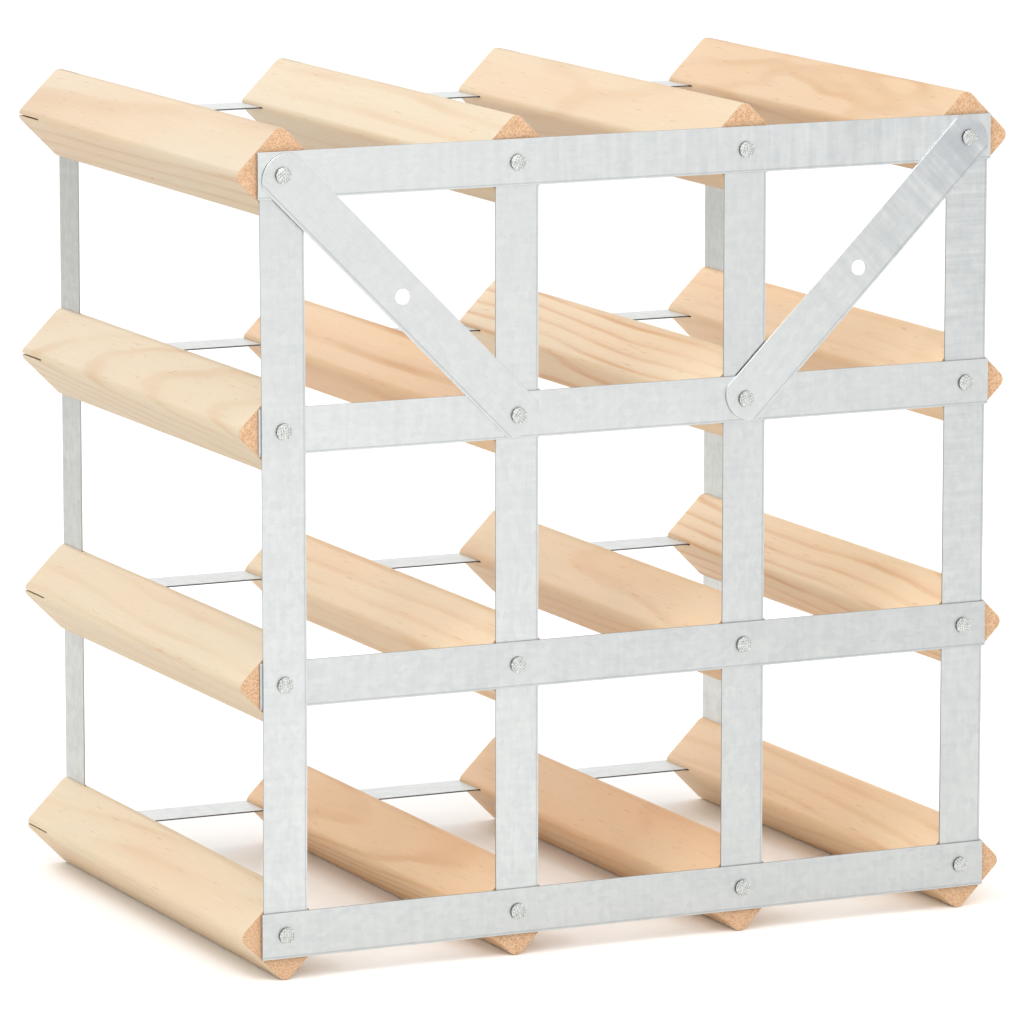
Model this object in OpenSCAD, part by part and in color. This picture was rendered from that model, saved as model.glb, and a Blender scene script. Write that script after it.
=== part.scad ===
// Wine rack: square softwood bars set on edge in a grid. Woven and nailed steel straps with two
// diagonal braces hold their rear ends (-Y). Edge-on steel strips let into crossed saw kerfs hold
// their front ends (+Y), where the bottles go in. All of it is rigid.
// Millimetres. The origin is the bottom centre of the overall box, +Z is up.

/* [Grid] */
// Bottle cells side by side
cells_across = 3; // [3:1:4]
// Bottle cells one above another
cells_up = 3; // [2:1:4]
// Distance between the centres of neighbouring columns of bars
pitch_x = 97; // [78:1:130]
// Distance between the centres of neighbouring rows of bars
pitch_z = 97; // [78:1:130]

/* [Bars] */
// Side of a bar's square section
bar_side = 27; // [22:0.5:34]
// Length of a bar, front to rear
bar_length = 228; // [180:1:300]
// Radius on a bar's long edges
bar_round = 3.5; // [0.5:0.1:5]

/* [Rear straps] */
// Width of a rear strap
strap_w = 18; // [12:0.5:24]
// Thickness of a rear strap or brace
strap_t = 0.8; // [0.5:0.1:1.5]
// How far a row's strap runs on past the centre of its last nail
row_tail = 10; // [7:0.5:13]
// How far a column's strap runs on past its last nail, out of sight under the row's strap
column_tail = 8.5; // [6:0.5:9]
// Flat run of a woven strap beside each strap it crosses, before it starts to rise or fall
weave_flat = 4; // [2:0.5:10]

/* [Braces] */
// Width of a brace
brace_w = 18.5; // [14:0.5:24]
// How far the crown of a brace's end passes the centre of its nail
brace_crown = 7.6; // [6:0.1:12]
// How far the corners of a brace's end lie back from its crown
brace_corner = 5.3; // [3:0.1:7]
// Diameter of the fixing hole at the middle of a brace
fixing_hole_d = 6; // [4:0.5:8]

/* [Front strips] */
// Width of a front strip, front to rear
strip_w = 20; // [14:0.5:26]
// Thickness of a front strip
strip_t = 0.6; // [0.4:0.1:1.5]
// How far a strip runs on past the centre of its last bar
strip_tail = 10; // [6:0.5:15]
// Room between the rear edge of a strip and the bottom of its kerf
kerf_spare = 2; // [0.5:0.5:8]
// Gap on each side of a strip, in its kerf and in the notches of the strips it crosses
strip_gap = 0.05; // [0.02:0.01:0.3]

/* [Nails] */
// Diameter of a nail's shank
nail_d = 2.8; // [2:0.1:4]
// Length of a nail under its head
nail_l = 35; // [20:1:60]
// Length of a nail's point
nail_point = 4; // [2:0.5:6]
// Diameter of a nail's head
head_d = 6.3; // [5:0.1:9]
// Height of a nail's head at its middle
head_h = 1.2; // [0.8:0.1:2]
// Height of a nail's head at its rim
head_rim = 0.6; // [0.2:0.1:0.7]
// Gap round the shank in the wood
bore_gap = 0.02; // [0.01:0.01:0.1]
// Gap round the shank in a strap or brace
hole_gap = 0.1; // [0.05:0.05:0.3]
// Room between a nail's point and the bottom of its bore
bore_spare = 1; // [0.5:0.5:5]

/* [Hidden] */
$fn = 48;
pine = [0.87, 0.69, 0.5];
galvanised = [0.86, 0.87, 0.87];
cut_over = 1;        // how far a cutting solid runs past what it cuts
crossing_layers = 2; // straps stacked at every crossing; a brace lies on top of them

columns = cells_across + 1;
rows = cells_up + 1;
all_columns = [1:columns];
all_rows = [1:rows];

// Half of a bar's size across its rounded corners
bar_reach = (bar_side / 2 - bar_round) * sqrt(2) + bar_round;
rear_stack = (crossing_layers + 1) * strap_t + head_h;
rear_y = (rear_stack - bar_length) / 2;
front_y = rear_y + bar_length;
kerf_w = strip_t + 2 * strip_gap;
kerf_depth = strip_w + kerf_spare;
bore_depth = nail_l - crossing_layers * strap_t + bore_spare;
strap_hole_d = nail_d + 2 * hole_gap;
brace_span = norm([pitch_x, pitch_z]);
brace_slope = atan2(pitch_z, pitch_x);

// Column 1 is at -X and row 1 is at the top
function column_x(column) = (column - (columns + 1) / 2) * pitch_x;
function row_z(row) = bar_reach + (rows - row) * pitch_z;

// Layer 0 lies on the wood. The first column strap passes over the inner rows and under the
// outer two; every other column strap passes under all the rows.
function is_inner(row) = row > 1 && row < rows;
function row_layer(row, column) = column == 1 && is_inner(row) ? 0 : 1;
function column_layer(row, column) = 1 - row_layer(row, column);

// The braces cross the two upper corner cells, from the outer top nail down and inwards
function is_braced(row, column) =
    (row == 1 && (column == 1 || column == columns)) ||
    (row == 2 && (column == 2 || column == columns - 1));

// Radius of the arc that rises by rise over a chord
function arc_radius(chord, rise) = (pow(chord / 2, 2) + pow(rise, 2)) / (2 * rise);

function bar_name(row, column) = str("bar_r", row, "_c", column);
function row_strap_name(row) = str("rear_strap_row_", row);
function column_strap_name(column) = str("rear_strap_col_", column);
function row_strip_name(row) = str("front_strip_row_", row);
function column_strip_name(column) = str("front_strip_col_", column);

// ---- Shapes that repeat ----

// Places its children at a crossing, against the rear ends of the bars, with +Z pointing out
// of the rear
module at_crossing(row, column) {
    translate([column_x(column), rear_y, row_z(row)]) rotate([90, 0, 0]) children();
}

module bar_section() {
    inner = bar_side / 2 - bar_round;
    square([bar_side, 2 * inner], center = true);
    square([2 * inner, bar_side], center = true);
    for (x = [-inner, inner], y = [-inner, inner]) translate([x, y]) circle(bar_round);
}

// Side view of a strap nailed at the places in stops: x runs along it, and y out of the rear.
// At each stop it lies flat on the layer given, and between stops it slopes to the next.
function strap_underside(stops, layers, tail) = concat(
    [[stops[0] - tail, layers[0] * strap_t]],
    [for (i = [0:len(stops) - 2], end = [0, 1]) if (layers[i] != layers[i + 1])
        [stops[i + end] + (1 - 2 * end) * (strap_w / 2 + weave_flat), layers[i + end] * strap_t]],
    [[stops[len(stops) - 1] + tail, layers[len(layers) - 1] * strap_t]]
);

function raised(points, height) = [for (p = points) p + [0, height]];
function reversed(points) = [for (i = [len(points) - 1:-1:0]) points[i]];

// A strap along +X, its underside on layer 0 at y = 0, rising out of the rear towards -Y
module strap(stops, layers, tail) {
    under = strap_underside(stops, layers, tail);
    mirror([0, 1, 0]) linear_extrude(strap_w, center = true)
        polygon(concat(under, reversed(raised(under, strap_t))));
}

// The hole that a nail passes through, long enough for every layer
module nail_hole() {
    translate([0, 0, -cut_over]) cylinder(d = strap_hole_d, h = rear_stack + 2 * cut_over);
}

// A nail with the underside of its head at z = 0 and its point towards -Z
module nail() {
    dome = head_h - head_rim;
    dome_r = arc_radius(head_d, dome);
    intersection() {
        cylinder(d = head_d, h = head_h);
        translate([0, 0, head_h - dome_r]) sphere(dome_r);
    }
    translate([0, 0, nail_point - nail_l]) cylinder(d = nail_d, h = nail_l - nail_point);
    translate([0, 0, -nail_l]) cylinder(d1 = 0.4, d2 = nail_d, h = nail_point);
}

module nails(braced, layers) {
    for (row = all_rows) for (column = all_columns) if (is_braced(row, column) == braced)
        at_crossing(row, column) translate([0, 0, layers * strap_t]) nail();
}

// ---- Sub-parts ----

// One bar on edge: crossed kerfs in its front end, and a bore for its nail in its rear end
module bar(row, column) {
    color(pine) difference() {
        translate([column_x(column), front_y, row_z(row)]) rotate([90, 0, 0])
            linear_extrude(bar_length) rotate(45) bar_section();
        translate([column_x(column), front_y - kerf_depth / 2 + cut_over, row_z(row)]) {
            cube([2 * bar_side, kerf_depth + 2 * cut_over, kerf_w], center = true);
            cube([kerf_w, kerf_depth + 2 * cut_over, 2 * bar_side], center = true);
        }
        at_crossing(row, column) translate([0, 0, -bore_depth])
            cylinder(d = nail_d + 2 * bore_gap, h = bore_depth + cut_over);
    }
}

module rear_row_strap(row) {
    stops = [for (column = all_columns) column_x(column)];
    layers = [for (column = all_columns) row_layer(row, column)];
    color(galvanised) difference() {
        translate([0, rear_y, row_z(row)]) strap(stops, layers, row_tail);
        for (column = all_columns) at_crossing(row, column) nail_hole();
    }
}

module rear_column_strap(column) {
    stops = [for (row = [rows:-1:1]) row_z(row)];
    layers = [for (row = [rows:-1:1]) column_layer(row, column)];
    color(galvanised) difference() {
        translate([column_x(column), rear_y, 0]) rotate([0, -90, 0]) strap(stops, layers, column_tail);
        for (row = all_rows) at_crossing(row, column) nail_hole();
    }
}

// side is -1 for the brace in the upper left cell and +1 for its mirror image
module brace(side) {
    end_r = arc_radius(brace_w, brace_corner);
    arc_span = brace_span + 2 * (brace_crown - end_r);
    middle = [side * (columns - 2) * pitch_x / 2, rear_y, row_z(1) - pitch_z / 2];
    color(galvanised) difference() {
        translate(middle) rotate([90, 0, 0]) translate([0, 0, crossing_layers * strap_t])
            rotate(side * brace_slope) linear_extrude(strap_t) difference() {
                intersection() {
                    square([brace_span + 2 * brace_crown, brace_w], center = true);
                    union() {
                        square([arc_span, 2 * end_r], center = true);
                        for (x = [-arc_span, arc_span] / 2) translate([x, 0]) circle(end_r);
                    }
                }
                circle(d = fixing_hole_d);
            }
        for (row = [1, 2]) at_crossing(row, side < 0 ? row : columns + 1 - row) nail_hole();
    }
}

// A front strip lies level from the first column to the last, notched halfway from its rear edge
module front_row_strip(row) {
    length = (columns - 1) * pitch_x + 2 * strip_tail;
    color(galvanised) difference() {
        translate([-length / 2, front_y - strip_w, row_z(row) - strip_t / 2])
            cube([length, strip_w, strip_t]);
        for (column = all_columns)
            translate([column_x(column), front_y - strip_w, row_z(row)])
                cube([kerf_w, strip_w, strip_t + 2 * cut_over], center = true);
    }
}

// An upright front strip is notched halfway from its front edge
module front_column_strip(column) {
    length = (rows - 1) * pitch_z + 2 * strip_tail;
    color(galvanised) difference() {
        translate([column_x(column) - strip_t / 2, front_y - strip_w, row_z(rows) - strip_tail])
            cube([strip_t, strip_w, length]);
        for (row = all_rows)
            translate([column_x(column), front_y, row_z(row)])
                cube([strip_t + 2 * cut_over, strip_w, kerf_w], center = true);
    }
}

module brace_left() { brace(-1); }
module brace_right() { brace(1); }
module strap_nails() { color(galvanised) nails(false, crossing_layers); }
module brace_nails() { color(galvanised) nails(true, crossing_layers + 1); }

for (row = all_rows) for (column = all_columns)
    bar(row, column);
for (row = all_rows) rear_row_strap(row);
for (column = all_columns)
    rear_column_strap(column);
for (row = all_rows) front_row_strip(row);
for (column = all_columns)
    front_column_strip(column);
brace_left();
brace_right();
strap_nails();
brace_nails();
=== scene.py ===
"""A three by three wine rack: pine bars on edge, galvanised straps, braces, strips and nails.

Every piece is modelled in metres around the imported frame, and stands for one CAD node, or for
one of the nails in a node. Nothing moves, so every piece rides on the one body, root.
"""

from __future__ import annotations

import logging
import math
import random
from collections.abc import Callable, Iterator
from contextlib import contextmanager
from dataclasses import dataclass
from enum import Enum
from functools import partial
from typing import Any

import bmesh
import bpy
from mathutils import Matrix, Vector


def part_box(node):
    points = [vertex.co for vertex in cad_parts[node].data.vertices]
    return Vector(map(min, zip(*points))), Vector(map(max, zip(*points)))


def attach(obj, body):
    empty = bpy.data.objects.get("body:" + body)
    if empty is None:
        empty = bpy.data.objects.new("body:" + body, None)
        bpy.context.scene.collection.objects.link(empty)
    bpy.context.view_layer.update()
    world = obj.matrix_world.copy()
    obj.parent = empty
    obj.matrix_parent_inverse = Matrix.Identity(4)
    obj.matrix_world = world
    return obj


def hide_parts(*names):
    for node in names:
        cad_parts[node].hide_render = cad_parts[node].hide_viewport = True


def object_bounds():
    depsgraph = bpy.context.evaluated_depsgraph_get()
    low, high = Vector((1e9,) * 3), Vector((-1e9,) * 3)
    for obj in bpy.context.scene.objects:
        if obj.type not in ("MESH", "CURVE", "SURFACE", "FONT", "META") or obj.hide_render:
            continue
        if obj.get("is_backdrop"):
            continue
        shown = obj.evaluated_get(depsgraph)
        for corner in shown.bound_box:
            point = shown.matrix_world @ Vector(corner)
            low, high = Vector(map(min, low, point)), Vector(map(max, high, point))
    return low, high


log = logging.getLogger("wine_rack")

MM = 0.001
BODY = "root"

OVER = 1 * MM  # How far a cutter reaches past what it cuts
AT_END = 1e-6  # How near to the end of a bar a vertex counts as being on it
SHARP = math.radians(50)  # Edges turned by more than this are eased
PEG_SIDES = 32
UPRIGHT = Matrix.Rotation(math.radians(-90), 4, "Y")  # Turns a strip along X to run up the rack

Ends = tuple[float, float]  # A value at each of a strip's two ends


class Element(Enum):
    """The kinds of mesh element that are selected in edit mode."""

    EDGE = "edges"
    FACE = "faces"


class Run(Enum):
    """Which way a strap or strip runs across the rack."""

    ROW = "row"
    COLUMN = "col"


class Slot(Enum):
    """The record's material slots."""

    PINE = "pine"
    STRAP = "galvanised_strap"
    STRIP = "galvanised_strip"
    NAIL = "steel_nail"


# ---- Modelling helpers ----


def make_active(piece: bpy.types.Object) -> None:
    """Deselects everything, then selects one piece and makes it the active one."""
    bpy.ops.object.select_all(action="DESELECT")
    piece.select_set(True)
    bpy.context.view_layer.objects.active = piece


@contextmanager
def edit_mode(piece: bpy.types.Object) -> Iterator[None]:
    """Opens a piece in edit mode with nothing selected, and closes it again."""
    make_active(piece)
    bpy.ops.object.mode_set(mode="EDIT")
    bpy.ops.mesh.select_all(action="DESELECT")
    yield
    bpy.ops.object.mode_set(mode="OBJECT")


def select(piece: bpy.types.Object, kind: Element, test: Callable[[Any], bool]) -> None:
    """Selects, in edit mode, the elements that pass a test, and nothing else.

    Args:
        piece: The mesh that is open in edit mode.
        kind: Edges or faces.
        test: Says of one bmesh element whether it is wanted.
    """
    bpy.ops.mesh.select_mode(type=kind.name)
    bpy.ops.mesh.select_all(action="DESELECT")
    shape = bmesh.from_edit_mesh(piece.data)
    for element in filter(test, getattr(shape, kind.value)):
        element.select_set(True)
    shape.select_flush_mode()
    bmesh.update_edit_mesh(piece.data)


def add_primitive(
    operator: Callable[..., Any], name: str, scale: Any = (1, 1, 1), **settings: Any
) -> bpy.types.Object:
    """Adds a primitive, with its place, turn and scale in its mesh.

    Args:
        operator: Adds the primitive.
        name: The object's name.
        scale: How much it is stretched along each axis of its own.
        **settings: What the operator is told.

    Returns:
        The new piece.
    """
    bpy.ops.object.select_all(action="DESELECT")
    operator(**settings)
    piece = bpy.context.object
    piece.scale = scale
    bpy.ops.object.transform_apply(location=True, rotation=True, scale=True)
    piece.name = piece.data.name = name
    return piece


def add_block(name: str, low: Vector, high: Vector) -> bpy.types.Object:
    """Adds a box between two corners, with its place in its mesh.

    Args:
        name: The object's name.
        low: Its lowest corner.
        high: Its highest corner.

    Returns:
        The new box.
    """
    middle = (low + high) / 2
    return add_primitive(bpy.ops.mesh.primitive_cube_add, name, high - low, size=1, location=middle)


def add_peg(name: str, radius: float, start: Vector, length: float) -> bpy.types.Object:
    """Adds a cylinder along Y, used to drill a hole.

    Args:
        name: The object's name.
        radius: Its radius.
        start: The middle of its end nearest -Y.
        length: How far it runs towards +Y.

    Returns:
        The new cylinder.
    """
    return add_primitive(
        bpy.ops.mesh.primitive_cylinder_add, name, vertices=PEG_SIDES, radius=radius, depth=length,
        location=start + Vector((0, length / 2, 0)), rotation=(math.pi / 2, 0, 0),
    )


def apply_modifier(piece: bpy.types.Object, kind: str, **settings: Any) -> None:
    """Adds one modifier with its settings and applies it.

    Args:
        piece: The mesh to change.
        kind: The modifier's type.
        **settings: Its properties.
    """
    make_active(piece)
    modifier = piece.modifiers.new(kind.title(), kind)
    for key, value in settings.items():
        setattr(modifier, key, value)
    bpy.ops.object.modifier_apply(modifier=modifier.name)


def cut_away(piece: bpy.types.Object, cutters: list[bpy.types.Object]) -> None:
    """Cuts each cutter's shape out of a piece, and removes the cutters."""
    for cutter in cutters:
        apply_modifier(piece, "BOOLEAN", operation="DIFFERENCE", solver="EXACT", object=cutter)
        bpy.data.objects.remove(cutter)


def smooth_faces(piece: bpy.types.Object, angle: float = math.radians(40)) -> None:
    """Shades a piece smooth up to an angle, and keeps its flat faces flat."""
    make_active(piece)
    bpy.ops.object.shade_smooth_by_angle(angle=angle)
    apply_modifier(piece, "WEIGHTED_NORMAL", keep_sharp=True, weight=100)


def ease_edges(piece: bpy.types.Object, width: float) -> None:
    """Rounds a piece's sharp edges by a small width, and shades it smooth."""
    apply_modifier(
        piece, "BEVEL", width=width, segments=2, limit_method="ANGLE", angle_limit=SHARP
    )
    smooth_faces(piece)


def copy_piece(source: bpy.types.Object, name: str, place: Matrix) -> bpy.types.Object:
    """Copies a piece with a mesh of its own, and puts its place in that mesh.

    Args:
        source: The piece modelled once.
        name: The copy's name.
        place: Where the copy goes, from the source's place.

    Returns:
        The copy.
    """
    piece = source.copy()
    piece.data = source.data.copy()
    piece.name = piece.data.name = name
    bpy.context.scene.collection.objects.link(piece)
    piece.data.transform(place)
    return piece


def store_vector(piece: bpy.types.Object, name: str, value: Callable[[Vector], Vector]) -> None:
    """Stores a vector on every vertex, for the piece's material to read.

    Args:
        piece: The mesh that carries it.
        name: The attribute's name.
        value: Gives the vector for a vertex's place.
    """
    layer = piece.data.attributes.new(name, "FLOAT_VECTOR", "POINT")
    flat = [part for vertex in piece.data.vertices for part in value(vertex.co)]
    layer.data.foreach_set("vector", flat)


def finish_piece(
    piece: bpy.types.Object, node: str, finish: bpy.types.Material
) -> bpy.types.Object:
    """Dresses a piece and ties it to the frame.

    Args:
        piece: The finished mesh.
        node: The CAD node that it stands for.
        finish: Its material.

    Returns:
        The same piece.
    """
    piece.data.materials.clear()
    piece.data.materials.append(finish)
    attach(piece, BODY)
    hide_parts(node)
    log.info("%s: %d faces, %s", piece.name, len(piece.data.polygons), finish.name)
    return piece


# ---- Finishes ----


def linear(code: str, alpha: float = 1.0) -> tuple[float, float, float, float]:
    """Turns an sRGB hex colour into linear values.

    Args:
        code: Six hex digits.
        alpha: The colour's alpha.

    Returns:
        Linear red, green and blue, and the alpha.
    """
    parts = [int(code[i : i + 2], 16) / 255 for i in (0, 2, 4)]
    red, green, blue = (p / 12.92 if p <= 0.04045 else ((p + 0.055) / 1.055) ** 2.4 for p in parts)
    return red, green, blue, alpha


@dataclass(frozen=True)
class Ramp:
    """Stops of a colour ramp: each a place from 0 to 1 and an sRGB hex colour."""

    stops: tuple[tuple[float, str], ...]
    interpolation: str = "LINEAR"

    def write(self, ramp: bpy.types.ColorRamp) -> None:
        """Writes the stops into a node's colour ramp."""
        ramp.interpolation = self.interpolation
        while len(ramp.elements) > 1:
            ramp.elements.remove(ramp.elements[-1])
        ramp.elements[0].position = self.stops[0][0]
        ramp.elements[0].color = linear(self.stops[0][1])
        for place, code in self.stops[1:]:
            ramp.elements.new(place).color = linear(code)


def add_node(
    tree: bpy.types.NodeTree, kind: str, inputs: dict[str | int, Any] | tuple = (), **settings: Any
) -> bpy.types.Node:
    """Adds one node with its settings and links.

    Args:
        tree: The node tree.
        kind: The node's type, without its ShaderNode prefix.
        inputs: For each input socket, its value, or the output or node that feeds it. A node
            feeds it from the first output that its settings leave in use. A tuple holds those of
            the first sockets, in order.
        **settings: The node's properties. A Ramp is written into its colour ramp.

    Returns:
        The new node.
    """
    node = tree.nodes.new("ShaderNode" + kind)
    for key, value in settings.items():
        if isinstance(value, Ramp):
            value.write(getattr(node, key))
        else:
            setattr(node, key, value)
    named = inputs if isinstance(inputs, dict) else dict(enumerate(inputs))
    for socket, value in named.items():
        if isinstance(value, bpy.types.Node):
            value = next(output for output in value.outputs if output.enabled)
        if isinstance(value, bpy.types.NodeSocket):
            tree.links.new(value, node.inputs[socket])
        else:
            node.inputs[socket].default_value = value
    return node


def new_material(name: str) -> tuple[bpy.types.Material, Callable[..., bpy.types.Node]]:
    """Makes an empty node material.

    Args:
        name: The material's name.

    Returns:
        The material, and add_node for its tree.
    """
    material = bpy.data.materials.new(name)
    material.use_nodes = True
    material.node_tree.nodes.clear()
    return material, partial(add_node, material.node_tree)


@dataclass(frozen=True)
class PlanedPine:
    """Fast-grown pine, planed on its sides and sawn at its ends, with nothing on it.

    It gives the eye pale cream earlywood, soft orange bands of latewood that run out along the
    bar, fine straight fibre, short brown dashes of resin, a rare pin knot, and brown, speckled
    end grain. Each bar carries vectors of its own: where the tree's pith lay, how the grain leans
    off the bar's length, its warmth, figure and seed, and its rings' width and wander, with a
    painted light that scales its colour to stand for how much light or shade falls on it.
    """

    earlywood: str = "D5C3A6"
    earlywood_warm: str = "DEB183"
    latewood: str = "C08C56"
    end_light: str = "D2B090"
    end_mid: str = "C5A07D"
    end_dark: str = "B28965"
    knot: str = "8E5E38"
    resin: str = "A9703C"

    # Widths across and along the grain
    fibre: tuple[float, float] = (0.45 * MM, 26 * MM)
    canal: tuple[float, float] = (0.8 * MM, 11 * MM)
    pore: tuple[float, float] = (0.6 * MM, 4 * MM)
    cloud: tuple[float, float] = (20 * MM, 120 * MM)
    band_patch: tuple[float, float] = (18 * MM, 80 * MM)
    small_sway: tuple[float, float] = (12 * MM, 56 * MM)
    large_sway: tuple[float, float] = (28 * MM, 110 * MM)
    knot_radius: float = 0.9 * MM
    knot_spacing: float = 34 * MM

    def build(self) -> bpy.types.Material:
        """Builds the material."""
        material, add = new_material("planed_pine")
        texture = add("TexCoord")
        place = texture.outputs["Object"]
        pith, lean, cut, rings = (
            add("Attribute", attribute_name=name).outputs["Vector"]
            for name in ("pith", "lean", "cut", "rings")
        )
        warm, figure, seed = add("SeparateXYZ", (cut,)).outputs
        ring, wander, light = add("SeparateXYZ", (rings,)).outputs
        along = add("SeparateXYZ", (place,)).outputs["Y"]

        # The same place, moved by the seed so that no two bars share a pattern
        shift = add("CombineXYZ", (seed, seed, seed))
        moved = add("VectorMath", (place, shift), operation="ADD")

        def stretched(across: float, length: float) -> bpy.types.Node:
            """Places scaled to one unit per feature across and along the bar."""
            scale = (1 / across, 1 / length, 1 / across)
            return add("VectorMath", (moved, scale), operation="MULTIPLY")

        def noise(size: tuple[float, float], detail: float) -> bpy.types.Node:
            """Noise about half, with features of a width across and along the bar."""
            return add("TexNoise", {"Vector": stretched(*size), "Scale": 1.0, "Detail": detail})

        # Distance from the pith, which leans off the bar and wanders along it
        drift = add("VectorMath", {0: lean, 3: along}, operation="SCALE")
        off = add("VectorMath", (place, pith), operation="SUBTRACT")
        off = add("VectorMath", (off, drift), operation="SUBTRACT")
        flat = add("VectorMath", (off, (1, 0, 1)), operation="MULTIPLY")
        radius = add("VectorMath", (flat,), operation="LENGTH")
        small, large = noise(self.small_sway, 1.0), noise(self.large_sway, 0.0)
        sway = add("Math", (small, 0.4, large), operation="MULTIPLY_ADD")
        wandered = add("Math", (sway, wander, radius), operation="MULTIPLY_ADD")
        turns = add("Math", (wandered, ring), operation="DIVIDE")
        phase = add("Math", (turns,), operation="FRACT")

        # Latewood comes up slowly through each ring and ends sooner than it began
        growth = (
            (0.0, "3A3A3A"), (0.16, "000000"), (0.36, "202020"), (0.60, "808080"),
            (0.80, "F0F0F0"), (0.88, "E0E0E0"), (1.0, "3A3A3A"),
        )
        late = add("ValToRGB", (phase,), color_ramp=Ramp(growth, "EASE"))
        patchy = add("MapRange", (noise(self.band_patch, 1.0), 0.32, 0.68, 0.25, 1.15))
        late = add("Math", (late, patchy), operation="MULTIPLY")
        late = add("Math", (late, figure), operation="MULTIPLY", use_clamp=True)

        # Planed sides: pale or warm earlywood, then latewood, then fibre
        clouds = add("MapRange", (noise(self.cloud, 1.0), 0.3, 0.7, -0.14, 0.14))
        warmth = add("Math", (warm, clouds), operation="ADD", use_clamp=True)
        early, early_warm = linear(self.earlywood), linear(self.earlywood_warm)
        side = add("Mix", {"Factor": warmth, 6: early, 7: early_warm}, data_type="RGBA")
        side = add("Mix", {"Factor": late, 6: side, 7: linear(self.latewood)}, data_type="RGBA")
        fibre = noise(self.fibre, 3.0)
        shade = add("MapRange", (fibre, 0.3, 0.7, 0.965, 1.025))
        side = add("VectorMath", {0: side, 3: shade}, operation="SCALE")

        # Resin canals, cut through by the planer, leave short brown dashes along the grain
        dash = add("MapRange", (noise(self.canal, 1.0), 0.67, 0.78, 0.0, 0.34))
        side = add("Mix", {"Factor": dash, 6: side, 7: linear(self.resin)}, data_type="RGBA")

        # A pin knot here and there
        knots_at = stretched(self.knot_spacing, self.knot_spacing)
        seen = add("TexVoronoi", {"Vector": knots_at, "Scale": 1.0}).outputs["Distance"]
        edge = self.knot_radius / self.knot_spacing
        knot = add("MapRange", (seen, edge * 0.4, edge, 0.75, 0.0))
        side = add("Mix", {"Factor": knot, 6: side, 7: linear(self.knot)}, data_type="RGBA")
        # Painted light: each bar's colour is scaled by its own light, darker for the bars along the top
        # and the left, where the light falls most, and brighter for the rest, which sit in more shade
        side = add("VectorMath", {0: side, 3: light}, operation="SCALE")

        # Sawn ends: open pores and torn fibre, darker than the sides
        speckle = noise(self.pore, 3.0)
        tones = Ramp(((0.36, self.end_dark), (0.49, self.end_mid), (0.64, self.end_light)))
        end = add("ValToRGB", (speckle,), color_ramp=tones)
        end_late = add("Math", (late, 0.4), operation="MULTIPLY")
        end = add("Mix", {"Factor": end_late, 6: end, 7: linear(self.end_dark)}, data_type="RGBA")
        facing = add("SeparateXYZ", (texture.outputs["Normal"],)).outputs["Y"]
        facing = add("Math", (facing,), operation="ABSOLUTE")
        is_end = add("MapRange", (facing, 0.6, 0.85))
        colour = add("Mix", {"Factor": is_end, 6: side, 7: end}, data_type="RGBA")
        roughness = add("MapRange", (is_end, 0.0, 1.0, 0.56, 0.9))

        # Latewood stands a little proud after planing; the end is torn
        relief = add("Math", (late, 0.35, fibre), operation="MULTIPLY_ADD")
        planed = add("Bump", {"Strength": 0.3, "Distance": 0.05 * MM, "Height": relief})
        torn = add("Math", (speckle, is_end), operation="MULTIPLY")
        sawn = {"Strength": 0.5, "Distance": 0.3 * MM, "Height": torn, "Normal": planed}
        normal = add("Bump", sawn)
        surface = add(
            "BsdfPrincipled", {"Base Color": colour, "Roughness": roughness, "Normal": normal, "IOR": 1.5}
        )
        add("OutputMaterial", {"Surface": surface})
        return material


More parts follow.
